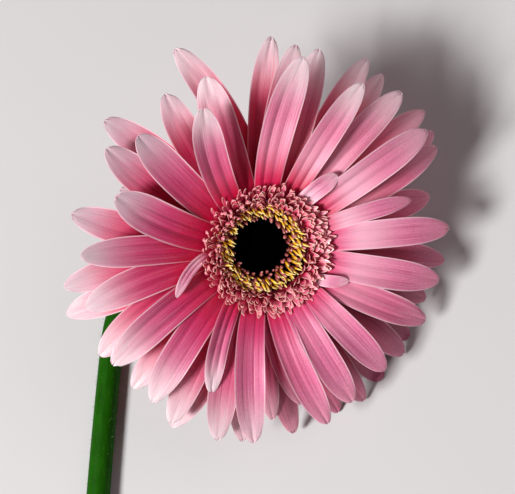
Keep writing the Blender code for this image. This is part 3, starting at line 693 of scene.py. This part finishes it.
class RayLook(Look):
    """Satin ray: crimson at the root, pink in the middle, pale at the tip, with veins and a rim, and
    painted light and shade by bearing and layer.
    """

    def __init__(self):
        super().__init__("ray_satin")
        self.along, self.across, self.flush = self.attributes("along", "across", "flush")
        self.tint = self.attribute("tint")
        phase = self.times(self.tint, 90.0)
        streak_place = self.vector(self.times(self.along, 2.6), self.times(self.across, 5.0), phase)
        vein_place = self.vector(self.along, self.times(self.across, 15.0), phase)
        self.streak = self.noise(streak_place, 1.6, 3.0, 0.6)
        self.ridges = self.noise(vein_place, 1.3, 2.0, 0.5)
        self.vein = self.step(self.ridges, 0.50, 0.68)
        self.cells = self.noise(self.object_place(), 1500.0, 2.0, 0.6)

    def graded(self, share, *stretch):
        """A share that changes over a stretch of the ray, which is given as for step."""
        return self.times(share, self.step(self.along, *stretch))

    def grown(self):
        """The colour from root to tip, which reaches less far in some streaks and rays; on the key
        light's side the crimson reaches further as painted shade.
        """
        streak_shift = self.times(self.math("SUBTRACT", self.streak, 0.5), 0.26)
        tint_shift = self.times(self.math("SUBTRACT", self.tint, 0.5), 0.12)
        place = self.math("ADD", self.math("ADD", self.along, streak_shift), tint_shift)
        place = self.math("SUBTRACT", place, self.times(self.vein, 0.04))
        place = self.math("MAXIMUM", place, 0.0)
        # Painted shade: on the key light's side the crimson reaches further along the ray.
        place = self.math("POWER", place, self.math("MULTIPLY_ADD", self.flush, 1.5, 1.0))
        return self.ramp(place, [
            (0.00, rgb(194, 4, 54)),
            (0.06, rgb(210, 20, 80)),
            (0.13, rgb(218, 50, 110)),
            (0.25, rgb(232, 112, 156)),
            (0.48, rgb(230, 122, 164)),
            (0.76, rgb(230, 134, 170)),
            (0.90, rgb(232, 140, 172)),
            (1.00, rgb(240, 168, 188)),
        ])

    def veined(self, body):
        """Dark veins, pale ridges between them as a painted highlight, fine freckles, and painted shade
        over the middles of the rays on the key light's side.
        """
        body = self.mix(self.times(self.vein, 0.36), body, rgb(160, 34, 84))
        # Painted highlight: pale streaks along the ridges between the veins.
        painted_ridge_highlight = self.step(self.ridges, 0.30, 0.44, 0.42, 0.0)
        painted_ridge_highlight = self.graded(painted_ridge_highlight, 0.15, 0.5)
        body = self.mix(painted_ridge_highlight, body, rgb(250, 192, 210))
        freckle = self.step(self.cells, 0.4, 0.66, 0.0, 0.30)
        freckle = self.graded(freckle, 0.1, 0.45, 0.3, 1.0)
        body = self.mix(freckle, body, rgb(202, 84, 126))
        # Painted shade: the middles of the rays on the key light's side are darker.
        painted_mid_shade = self.graded(self.graded(self.flush, 0.22, 0.4), 0.6, 0.88, 0.45, 0.0)
        return self.mix(painted_mid_shade, body, rgb(176, 60, 98))

    def folded(self, body):
        """Painted shade: a broken dark line along the bottom of each fold."""
        for name in ("left_fold", "right_fold"):
            away = self.math("SUBTRACT", self.across, self.attribute(name))
            # Painted shade in the bottom of the fold.
            line = self.step(self.math("ABSOLUTE", away), 0.01, 0.10, 0.50, 0.0)
            line = self.graded(line, 0.5, 0.95, 1.0, 0.2)
            line = self.times(line, self.step(self.streak, 0.3, 0.7, 0.4, 1.0))
            body = self.mix(line, body, rgb(160, 32, 78))
        return body

    def shaded(self, body):
        """Painted light that makes the inner halves pale on one side of the head, and painted shade on
        the rays behind.
        """
        # Painted light: pale inner halves of the rays on the side away from the key light.
        pale = self.graded(self.attribute("pale"), 0.10, 0.32)
        pale = self.graded(pale, 0.26, 0.66, 0.72, 0.0)
        body = self.mix(pale, body, rgb(250, 200, 216))
        # Painted shade: the rays behind are deeper crimson towards their roots.
        shade = self.graded(self.attribute("behind"), 0.42, 0.86, 0.76, 0.28)
        return self.mix(shade, body, rgb(216, 12, 72))

    def painted_tip_light_and_rim(self, body):
        """Painted light on the tips: whitish, strongest on the key light's side, and greyer on the rays
        where the painted crimson reaches furthest; and a pale rim.
        """
        # Painted light: whitish tips, strongest on the key light's side.
        painted_tip_light = self.step(self.along, 0.47, 0.94)
        painted_tip_light = self.times(painted_tip_light, self.step(self.flush, 0.0, 0.28, 0.04, 0.90))
        painted_tip_light = self.times(painted_tip_light, self.step(self.streak, 0.25, 0.6, 0.70, 1.0))
        greyness = self.step(self.flush, 0.7, 0.97)
        white = self.mix(greyness, rgb(252, 234, 236), rgb(184, 172, 178))
        body = self.mix(painted_tip_light, body, white)
        # A pale rim: the edge's own paleness and a painted highlight; round the tip it paints light over
        # the shade there.
        rim = self.step(self.math("ABSOLUTE", self.across), 0.90, 0.98)
        rim = self.graded(rim, 0.1, 0.5, 0.3, 0.8)
        rim = self.math("MAXIMUM", rim, self.step(self.along, 0.965, 0.99, 0.0, 0.7))
        return self.mix(rim, body, rgb(255, 212, 221))

    def backed(self, body):
        """The plainer underside, and painted shade on the rays behind on the side that lies low."""
        under = self.ramp(self.along, [
            (0.00, rgb(186, 96, 96)),
            (0.25, rgb(214, 92, 128)),
            (1.00, rgb(238, 158, 180)),
        ])
        body = self.mix(self.times(self.attribute("back"), 0.85), body, under)
        # Painted shade on the rays behind on the low side.
        return self.mix(self.times(self.attribute("dim"), 0.50), body, rgb(120, 26, 70))


def ray_look():
    look = RayLook()
    body = look.veined(look.grown())
    body = look.shaded(look.folded(body))
    body = look.backed(look.painted_tip_light_and_rim(body))
    height = look.math("ADD", look.ridges, look.times(look.cells, 0.25))
    look.bump(height, 0.00022, 0.5)
    look.subsurface(0.20, 0.0008, (1.0, 0.28, 0.40))
    rough = look.math("MULTIPLY_ADD", look.streak, 0.12, 0.38)
    return look.finish(body, rough, 0.42)


def trans_look():
    """Short straps: pink with thin pale rims and tips that are also painted highlights, dark crimson
    roots that are partly painted shade between the straps, and a tint with painted shade on one side.
    """
    look = Look("trans_satin")
    along, across, tint = look.attributes("along", "across", "tint")
    # Dark crimson roots, partly painted shade in the gaps between the straps.
    body = look.ramp(along, [
        (0.00, rgb(120, 0, 18)),
        (0.30, rgb(190, 24, 66)),
        (0.55, rgb(230, 92, 132)),
        (0.78, rgb(242, 130, 162)),
        (0.93, rgb(250, 164, 176)),
        (1.00, rgb(255, 216, 200)),
    ])
    # A crimson tint that differs at random, deeper on the upright side as painted shade.
    body = look.mix(look.step(tint, 0.2, 1.0, 0.0, 0.45), body, rgb(196, 44, 78))
    # Painted highlight: pale rims towards the tips, on top of the straps' own pale edges.
    edge = look.step(look.math("ABSOLUTE", across), 0.62, 0.9)
    lit = look.times(edge, look.step(along, 0.4, 0.85, 0.0, 0.6))
    body = look.mix(lit, body, rgb(255, 204, 184))
    look.bump(look.noise(look.object_place(), 900.0), 0.0002, 0.4)
    look.subsurface(0.15, 0.0006, (1.0, 0.25, 0.3))
    return look.finish(body, 0.33, 0.7)


def anther_look():
    """Golden anthers with brown roots and bright tips."""
    look = Look("anther_gold")
    along, tint = look.attributes("along", "tint")
    body = look.ramp(along, [
        (0.00, rgb(40, 8, 10)),
        (0.34, rgb(96, 40, 18)),
        (0.52, rgb(206, 130, 20)),
        (0.80, rgb(252, 206, 44)),
        (1.00, rgb(255, 248, 170)),
    ])
    body = look.mix(look.step(tint, 0.5, 1.0, 0.0, 0.55), body, rgb(150, 78, 26))
    look.bump(look.noise(look.object_place(), 1500.0), 0.0001, 0.5)
    return look.finish(body, 0.30, 0.6)


def bud_look():
    """Mauve-brown buds between the anthers, with dark roots."""
    look = Look("bud_mauve")
    along, tint = look.attributes("along", "tint")
    body = look.ramp(along, [
        (0.00, rgb(7, 2, 3)),
        (0.45, rgb(76, 16, 22)),
        (0.75, rgb(158, 74, 78)),
        (0.92, rgb(198, 116, 112)),
        (1.00, rgb(232, 176, 160)),
    ])
    body = look.mix(look.step(tint, 0.3, 1.0, 0.0, 0.6), body, rgb(122, 48, 36))
    return look.finish(body, look.step(along, 0.0, 0.4, 1.0, 0.4), 0.4)


def centre_look():
    """Near-black buds with a faint wine tinge."""
    look = Look("centre_black")
    spot = look.noise(look.object_place(), 700.0, 3.0)
    body = look.mix(spot, rgb(1, 1, 1), rgb(3, 1, 2))
    look.bump(spot, 0.0002, 0.6)
    return look.finish(body, 1.0, 0.01)


def stem_look():
    """Fresh green stem with fine lengthwise ribs and a paler cut end."""
    look = Look("stem_green")
    along, around = look.attributes("along", "around")
    place = look.vector(look.times(along, 26.0), look.math("COSINE", around), look.math("SINE", around))
    streak = look.noise(place, 2.2, 3.0, 0.5)
    body = look.mix(streak, rgb(14, 64, 0), rgb(32, 100, 2))
    body = look.mix(look.step(along, 0.0, 0.12, 0.5, 0.0), body, rgb(52, 92, 18))
    cut = look.step(look.attribute("cut"), 0.2, 0.8)
    body = look.mix(cut, body, rgb(176, 192, 120))
    look.bump(streak, 0.0002, 0.4)
    look.subsurface(0.15, 0.001, (0.6, 1.0, 0.3))
    return look.finish(body, look.math("MULTIPLY_ADD", streak, 0.2, 0.42), 0.06)


def bract_look():
    """Green bracts, darker at the keel, with purple-brown tips and pale edges."""
    look = Look("bract_green")
    along, across, tint = look.attributes("along", "across", "tint")
    body = look.ramp(along, [
        (0.0, rgb(70, 104, 40)),
        (0.6, rgb(92, 128, 52)),
        (0.9, rgb(110, 104, 56)),
        (1.0, rgb(120, 64, 60)),
    ])
    edge = look.step(look.math("ABSOLUTE", across), 0.6, 1.0, 0.0, 0.5)
    body = look.mix(edge, body, rgb(150, 168, 96))
    body = look.mix(look.times(tint, 0.3), body, rgb(56, 92, 34))
    look.bump(look.noise(look.object_place(), 600.0), 0.0003, 0.5)
    return look.finish(body, 0.55)


def ray_values(ray, fine):
    """The colouring of one ray: its tint, its folds, and the painted light and shade that its bearing
    and layer give it.
    """
    behind = min(max(ray.depth, 0.0) / RAY_HINDMOST, 1.0)
    # Painted light and shade that the ray's bearing and layer give it.
    values = {
        "tint": fine.random(),
        "left_fold": ray.folds[0][0],
        "right_fold": ray.folds[1][0],
        "flush": (0.5 + 0.5 * math.cos(ray.bearing - PAINTED_KEY_SIDE_BEARING)) ** PAINTED_KEY_SIDE_NARROWING,
        "pale": (0.5 + 0.5 * math.cos(ray.bearing - PAINTED_LIGHT_BEARING)) ** PAINTED_LIGHT_NARROWING,
        "behind": behind,
        "dim": behind * max(-ray.high_side, 0.0) ** 2,
    }
    if ray.depth < STRAY_DEPTH:
        values.update(STRAY_COLOURING)
    return values


def make_rays():
    """Every ray on its collar: the front ones with the collar, and the back ones under them."""
    front = Pile(*RAY_VALUES)
    back = Pile(*RAY_VALUES)
    draw = random.Random(RAY_SEED)
    fine = random.Random(RAY_FINE_SEED)
    for row in RAYS:
        ray = Ray(row, draw, fine)
        pile = front if ray.depth < RAY_FRONT_DEPTH else back
        values = ray_values(ray, fine)
        blade(pile, ray.surface, *RAY_BLADE, **values)
    front.add(*turned(RAY_COLLAR, ROUND_SIDES, True), tint=0.5)
    look = ray_look()
    back.to_piece("rays_back", look, "ray_florets")
    front.to_piece("rays_front", look, "ray_florets")


def turned_faces(rows, sides, closed):
    """Faces between rows of points that go round the head's axis, back to the first if closed."""
    faces = []
    for i in range(rows if closed else rows - 1):
        below = (i + 1) % rows
        for k in range(sides):
            after = (k + 1) % sides
            faces.append((i * sides + k, below * sides + k, below * sides + after, i * sides + after))
    return faces


def turned(profile, sides, closed):
    """Points and faces of a profile in millimetres turned round the head's axis."""
    radius = np.array([point[0] for point in profile]) * MM
    height = np.array([point[1] for point in profile]) * MM
    bearing = np.linspace(0, TAU, sides, endpoint=False)
    points = in_world(polar(radius[:, None], bearing[None, :], height[:, None])).reshape(-1, 3)
    return points, turned_faces(len(profile), sides, closed)


def trans_surface(bearing, root_radius, tip_radius, rise, width, draw):
    """A short strap that runs outwards from its root and then turns up, with a rounded tip."""
    upright = (0.5 + 0.5 * math.cos(bearing - UPRIGHT_BEARING)) ** 1.5
    turn_up = (1.0 - upright) * draw.uniform(*TRANS_TURN_UP_FLAT)
    turn_up += upright * draw.uniform(*TRANS_TURN_UP_UPRIGHT)
    curl = (draw.uniform(*TRANS_CURL_DRAW) + 0.5 * upright) * MM
    yaw = draw.uniform(-TRANS_YAW, TRANS_YAW)
    fold = draw.uniform(*TRANS_FOLD_DRAW) * (0.4 + 0.7 * upright)
    swing = draw.uniform(-TRANS_SWING, TRANS_SWING)
    bend = draw.uniform(-TRANS_BEND, TRANS_BEND)
    hook = rise * draw.uniform(*TRANS_HOOK_DRAW) * FLORET_LEAN
    full_width = width * (1.35 - 0.50 * upright)
    rise = rise * (0.9 + 0.3 * upright)

    def surface(along, across):
        s = 1.0 - along
        pull = tip_radius - turn_up * (tip_radius - root_radius)
        radius = s * s * root_radius + 2 * s * along * pull + along ** 2 * tip_radius
        up = 2 * s * along * 0.22 * rise + along ** 2 * rise
        radius = radius - curl * smoothstep(along, 0.6, 1.0) ** 2
        here = bearing + swing * along
        half = full_width / 2 * (0.5 + 0.5 * smoothstep(along, 0.1, 0.7))
        half = half * np.sqrt(1.0 - 0.97 * np.clip((along - 0.4) / 0.6, 0.0, 1.0) ** 2.0)
        turned_by = here + yaw * along
        side = np.stack((-np.sin(turned_by), np.cos(turned_by), np.zeros_like(here)), axis=-1)
        inward = -polar(1.0, turned_by, 0.0)
        point = polar(radius, here, TRANS_ROOT_HEIGHT + up)
        point += side * (across * half + bend * half * along ** 2)[..., None]
        point += inward * (fold * half * across ** 2)[..., None]
        shift = (along ** 2)[..., None] * trans_shift(tip_radius)
        point[..., :2] += shift + (along ** 3)[..., None] * hook
        return point

    return surface


def trans_shift(radius):
    """How far a ring of straps lies off the middle: as far as the disc inside, hardly at all outside."""
    share = min(max((TRANS_OUTER - radius) / (TRANS_OUTER - DISC_OUTER), 0.0), 1.0)
    return share * DISC_SHIFT + (1.0 - share) * TRANS_OUTER_SHIFT


def make_trans():
    """The dense ring of short straps inside the rays."""
    pile = Pile("along", "across", "tint")
    draw = random.Random(TRANS_SEED)
    for ring, (root_radius, tip_radius, count, rise, width) in enumerate(TRANS_RINGS):
        for number in range(count):
            bearing = TAU * (number + 0.37 * ring + draw.uniform(-0.35, 0.35)) / count
            tip = (tip_radius + draw.uniform(-0.5, 0.5)) * MM
            up = rise * MM * draw.uniform(0.8, 1.15)
            wide = width * MM * draw.uniform(0.55, 1.25)
            surface = trans_surface(bearing, root_radius * MM, tip, up, wide, draw)
            # Painted shade: the crimson tint is deeper on the upright side, whose seen faces turn away
            # from the key light.
            painted_shade_side_share = math.cos((bearing - UPRIGHT_BEARING) / 2) ** 2
            shade = draw.random() * (0.45 + 0.55 * painted_shade_side_share)
            blade(pile, surface, *TRANS_BLADE, tint=shade)
    pile.add(*turned(TRANS_BED, ROUND_SIDES, True), tint=0.5)
    pile.to_piece("trans_fine", trans_look(), "trans_florets")


def on_disc(radius, bearing, height):
    """Points of the disc, which lies off the head's middle."""
    points = polar(radius, bearing, height)
    points[..., :2] += DISC_SHIFT
    return points


def disc_places(rings, draw, offset, jitter, height_draw, scatter):
    """The florets of the disc's rings, one by one: the ring, the bearing, the height and the root."""
    for ring, (radius, count, height) in enumerate(rings):
        for number in range(count):
            place = number + offset + 0.5 * ring + draw.uniform(-jitter, jitter)
            bearing = TAU * place / count
            tall = height * MM * draw.uniform(*height_draw)
            root = on_disc((radius + draw.uniform(-scatter, scatter)) * MM, bearing, 0.0)
            yield ring, bearing, tall, root


def add_anthers(pile, draw):
    """Upright anthers that hook over towards the face's bearing."""
    t = np.linspace(0, 1, FLORET_STEPS)
    thickness = 0.6 + 0.45 * np.sin(math.pi * t ** 1.5)
    for _, _, tall, root in disc_places(ANTHER_RINGS, draw, 0.0, 0.3, (0.85, 1.08), 0.25):
        route = polar(0.0, 0.0, tall * (t - 0.14 * t ** 4)) + root
        hook = draw.uniform(*ANTHER_HOOK_DRAW) * MM
        hook_bearing = FACE_BEARING + draw.uniform(-0.8, 0.8)
        sway = hook * (t ** 3 - 0.35 * np.sin(math.pi * t))
        route[:, 0] += sway * math.cos(hook_bearing)
        route[:, 1] += sway * math.sin(hook_bearing)
        route[:, :2] += (route[:, 2:] + draw.uniform(-0.3, 0.3) * MM) * FLORET_LEAN
        radii = ANTHER_RADIUS * draw.uniform(0.8, 1.15) * thickness
        radii[-1] *= 0.55
        tube(pile, in_world(route), radii, ANTHER_SIDES, tint=draw.random())


def add_buds(pile, draw):
    """Closed buds between the anthers, slimmer and bent inwards in the first rings."""
    t = np.linspace(0, 1, FLORET_STEPS)
    for ring, bearing, tall, root in disc_places(BUD_RINGS, draw, 0.3, 0.35, (0.75, 1.15), 0.3):
        inner = ring < INNER_BUD_RINGS
        inward = (draw.uniform(0.3, 1.3) if inner else draw.uniform(-0.5, 0.5)) * MM
        route = np.stack((
            -inward * math.cos(bearing) * t ** 2,
            -inward * math.sin(bearing) * t ** 2,
            tall * t,
        ), axis=-1)
        route[:, :2] += route[:, 2:] * FLORET_LEAN
        fullest = draw.uniform(0.9, 1.5) if inner else draw.uniform(1.3, 2.2)
        thickness = 0.25 + 0.8 * np.sin(math.pi * t ** fullest) ** 0.8
        widest = INNER_BUD_RADIUS if inner else BUD_RADIUS
        radii = widest * draw.uniform(0.7, 1.15) * thickness
        radii[-1] *= 0.3 if inner else 0.5
        tube(pile, in_world(route + root), radii, BUD_SIDES, tint=draw.random())


def make_disc():
    """Golden anthers, and the mauve buds between them."""
    draw = random.Random(DISC_SEED)
    gold = Pile("along", "tint")
    mauve = Pile("along", "tint")
    add_anthers(gold, draw)
    add_buds(mauve, draw)
    mauve.to_piece("disc_buds", bud_look())
    gold.to_piece("anthers_fine", anther_look(), "disc_florets")


def make_centre():
    """The recessed dome of closed buds, near black, and the wall round it."""
    black = Pile()
    t = np.linspace(0, 1, CENTRE_BUD_STEPS)
    radii = CENTRE_BUD_RADIUS * np.sqrt(np.clip(1.0 - (t * 0.96) ** 2, 0.02, 1.0))
    golden_angle = math.pi * (3.0 - math.sqrt(5.0))
    for number in range(CENTRE_BUDS):
        share = math.sqrt((number + 0.5) / CENTRE_BUDS)
        height = (CENTRE_BUD_FOOT - CENTRE_DIP * share ** 3 + CENTRE_BUD_HEIGHT * t) * MM
        route = on_disc(share * CENTRE_RADIUS, number * golden_angle, height)
        tube(black, in_world(route), radii, CENTRE_BUD_SIDES)
    bearing = np.linspace(0, TAU, ROUND_SIDES, endpoint=False)
    inner = on_disc(CENTRE_WALL_RADII[0] * MM, bearing, CENTRE_FOOT)
    outer = polar(CENTRE_WALL_RADII[1] * MM, bearing, CENTRE_FOOT)
    inner_top, outer_top = (np.array((0.0, 0.0, height * MM)) for height in CENTRE_WALL_HEIGHTS)
    rows = [inner + inner_top, outer + outer_top, outer, inner]
    black.add(in_world(np.concatenate(rows)), turned_faces(len(rows), ROUND_SIDES, True))
    points, faces = turned(CENTRE_PROFILE, CENTRE_SIDES, False)
    shift_x, shift_y = DISC_SHIFT
    black.add(points + HEAD_TURN[:, 0] * shift_x + HEAD_TURN[:, 1] * shift_y, faces)
    black.to_piece("centre_fine", centre_look(), "disc_centre")


def bract_surface(bearing, root, tip, width):
    """A bract from its root to its tip, each a radius and a height, keeled and pointed."""
    def surface(along, across):
        radius = (root[0] + (tip[0] - root[0]) * np.sin(math.pi / 2 * along)) * MM
        height = (root[1] + (tip[1] - root[1]) * along ** 1.3) * MM
        half = width * MM / 2 * (1.0 - 0.94 * along ** 1.8)
        side = np.array((-math.sin(bearing), math.cos(bearing), 0.0))
        keel = 0.25 * half * across ** 2
        return polar(radius, bearing, height + keel) + side * (across * half)[..., None]
    return surface


def make_involucre():
    """The cup and its rows of bracts."""
    pile = Pile("along", "across", "tint")
    draw = random.Random(BRACT_SEED)
    for row, (root, tip, count, width) in enumerate(BRACT_ROWS):
        for number in range(count):
            bearing = TAU * (number + 0.5 * row) / count + math.radians(draw.uniform(-2, 2))
            surface = bract_surface(bearing, root, tip, width)
            shade = draw.random()
            blade(pile, surface, *BRACT_BLADE, tint=shade)
    pile.add(*turned(CUP_PROFILE, ROUND_SIDES, False), along=0.1, tint=0.4)
    pile.to_piece("involucre_fine", bract_look(), "involucre")


def bezier(start, start_pull, end_pull, end, t):
    """Points at the shares t of a curve from start to end, bent towards its two pulls."""
    s = 1.0 - t
    return (s ** 3)[:, None] * start + (3 * s * s * t)[:, None] * start_pull + \
        (3 * s * t * t)[:, None] * end_pull + (t ** 3)[:, None] * end


def stem_route():
    """The stem's middle line from the head to the cut end, and its radius at each point."""
    top = HEAD_CENTRE - FACE * STEM_TOP
    foot = np.array((*(HEAD_CENTRE[:2] + NECK_FOOT), FOOT_RADIUS - STEM_FLAT_DEPTH))
    foot_pull = foot + np.array((*NECK_FOOT_PULL, 0.0))
    cut_end = np.array((*(HEAD_CENTRE[:2] + CUT_END), foot[2]))
    lying_pull = foot + np.array((*LYING_PULL, 0.0))
    cut_end_pull = cut_end + np.array((*CUT_END_PULL, 0.0))
    t = np.linspace(0, 1, NECK_STEPS, endpoint=False)
    neck = bezier(top, top - FACE * NECK_PULL, foot_pull, foot, t)
    neck_radii = NECK_RADIUS + (FOOT_RADIUS - NECK_RADIUS) * smoothstep(t)
    t = np.linspace(0, 1, LYING_STEPS)
    lying = bezier(foot, lying_pull, cut_end_pull, cut_end, t)
    lying_radii = FOOT_RADIUS + (CUT_END_RADIUS - FOOT_RADIUS) * t
    lying[:, 2] = lying_radii - STEM_FLAT_DEPTH
    return np.concatenate((neck, lying)), np.concatenate((neck_radii, lying_radii))


def sink_cut_end(points, first, axis):
    """Move the cut's rings to their depths, and return how far each point is cut flesh."""
    cut = np.zeros(len(points))
    for number, (share, sunk) in enumerate(CUT_STEPS):
        ring = slice(first + number * STEM_SIDES, first + (number + 1) * STEM_SIDES)
        points[ring] -= axis * (sunk * MM + (number + 1) * CUT_SPACING)
        cut[ring] = min((1.0 - share) * CUT_PALING, 1.0)
    points[-1] = points[-2 - STEM_SIDES:-2].mean(axis=0)
    cut[-1] = 1.0
    return cut


def make_stem():
    """The bent stem, its cut end and its down."""
    route, radii = stem_route()

    # The cut: a skin that stands a little proud, and paler flesh that sinks towards the middle.
    axis = route[-1] - route[-2]
    axis /= np.linalg.norm(axis)
    steps = np.arange(1, len(CUT_STEPS) + 1)[:, None] * CUT_SPACING * axis
    cut_radii = CUT_END_RADIUS * np.array([share for share, sunk in CUT_STEPS])
    pile = Pile("along", "around", "cut")
    whole_route = np.concatenate((route, route[-1] + steps))
    tube(pile, whole_route, np.concatenate((radii, cut_radii)), STEM_SIDES)
    points = pile.points[0]
    pile.values["cut"][0] = sink_cut_end(points, len(route) * STEM_SIDES, axis)
    points[:, 2] = np.maximum(points[:, 2], 0.0)
    add_hairs(pile, route, radii)
    pile.to_piece("stem_fine", stem_look(), "stem")


def add_hairs(pile, route, radii):
    """Fine down over the stem, kept off the side that it lies on."""
    draw = random.Random(HAIR_SEED)
    ahead = np.gradient(route, axis=0)
    ahead /= np.linalg.norm(ahead, axis=1, keepdims=True)
    for _ in range(HAIRS):
        index = draw.randrange(4, len(route) - 2)
        side = np.cross(ahead[index], (draw.gauss(0, 1), draw.gauss(0, 1), draw.gauss(0, 1)))
        side /= np.linalg.norm(side)
        root = route[index] + ahead[index] * draw.uniform(-HAIR_SCATTER, HAIR_SCATTER) * MM
        root = root + side * (radii[index] - HAIR_SUNK)
        out = side + ahead[index] * draw.uniform(-HAIR_LEAN, HAIR_LEAN)
        tip = root + out * draw.uniform(*HAIR_LENGTH_DRAW) * MM
        if min(root[2], tip[2]) > HAIR_CLEARANCE:
            hair = np.linspace(root, tip, len(HAIR_RADII))
            tube(pile, hair, HAIR_RADII, HAIR_SIDES, cut=HAIR_PALENESS)


def make_floor():
    bpy.ops.mesh.primitive_plane_add(size=FLOOR_SIZE, location=(0.0, 0.0, -FLOOR_DROP))
    floor = bpy.context.object
    floor.name = "floor"
    look = Look("floor_pale")
    grain = look.noise(look.object_place(), 3.0, 4.0)
    floor.data.materials.append(look.finish(look.mix(grain, *FLOOR_COLOURS), 0.8))


def aim(thing, place, target):
    """Put a camera or light at a place, looking at a target."""
    thing.location = Vector(place)
    thing.rotation_euler = (Vector(target) - Vector(place)).to_track_quat("-Z", "Y").to_euler()


def make_light(name, direction, distance, size, power, colour):
    data = bpy.data.lights.new(name, "AREA")
    data.shape = "DISK"
    data.size = size
    data.energy = power
    data.color = colour
    thing = bpy.data.objects.new(name, data)
    bpy.context.scene.collection.objects.link(thing)
    direction = np.array(direction) / np.linalg.norm(direction)
    aim(thing, HEAD_CENTRE + direction * distance, HEAD_CENTRE)


def make_camera():
    """A camera at the photograph's angle, shifted to the photograph's framing. Returns its turn."""
    turn = lean(FACE_BEARING, CAMERA_LEAN)
    data = bpy.data.cameras.new("camera")
    data.lens = CAMERA_LENS
    data.clip_start = CAMERA_CLIP
    data.shift_x = (PHOTO_WIDTH / 2 - RING_PIXEL[0]) / PHOTO_WIDTH
    data.shift_y = (RING_PIXEL[1] - PHOTO_HEIGHT / 2) / PHOTO_WIDTH
    camera = bpy.data.objects.new("camera", data)
    bpy.context.scene.collection.objects.link(camera)
    place = HEAD_CENTRE + turn[:, 2] * CAMERA_DISTANCE
    camera.matrix_world = Matrix.Translation(Vector(place)) @ Matrix(turn.tolist()).to_4x4()
    bpy.context.scene.camera = camera
    return turn


def make_studio():
    """A soft key from the photograph's left, a weak fill, and a pale surround."""
    turn = make_camera()
    key_from = polar(math.cos(KEY_ELEVATION), KEY_BEARING, math.sin(KEY_ELEVATION))
    make_light("key", HEAD_TURN @ key_from, *KEY_LIGHT)
    make_light("fill", turn @ FILL_FROM, *FILL_LIGHT)
    world = bpy.data.worlds.new("surround")
    bpy.context.scene.world = world
    world.use_nodes = True
    background = world.node_tree.nodes["Background"]
    background.inputs["Color"].default_value = SURROUND_COLOUR
    background.inputs["Strength"].default_value = SURROUND_STRENGTH
    bpy.context.scene.view_settings.view_transform = "Standard"


make_studio()
make_floor()
make_stem()
make_involucre()
make_rays()
make_trans()
make_disc()
make_centre()
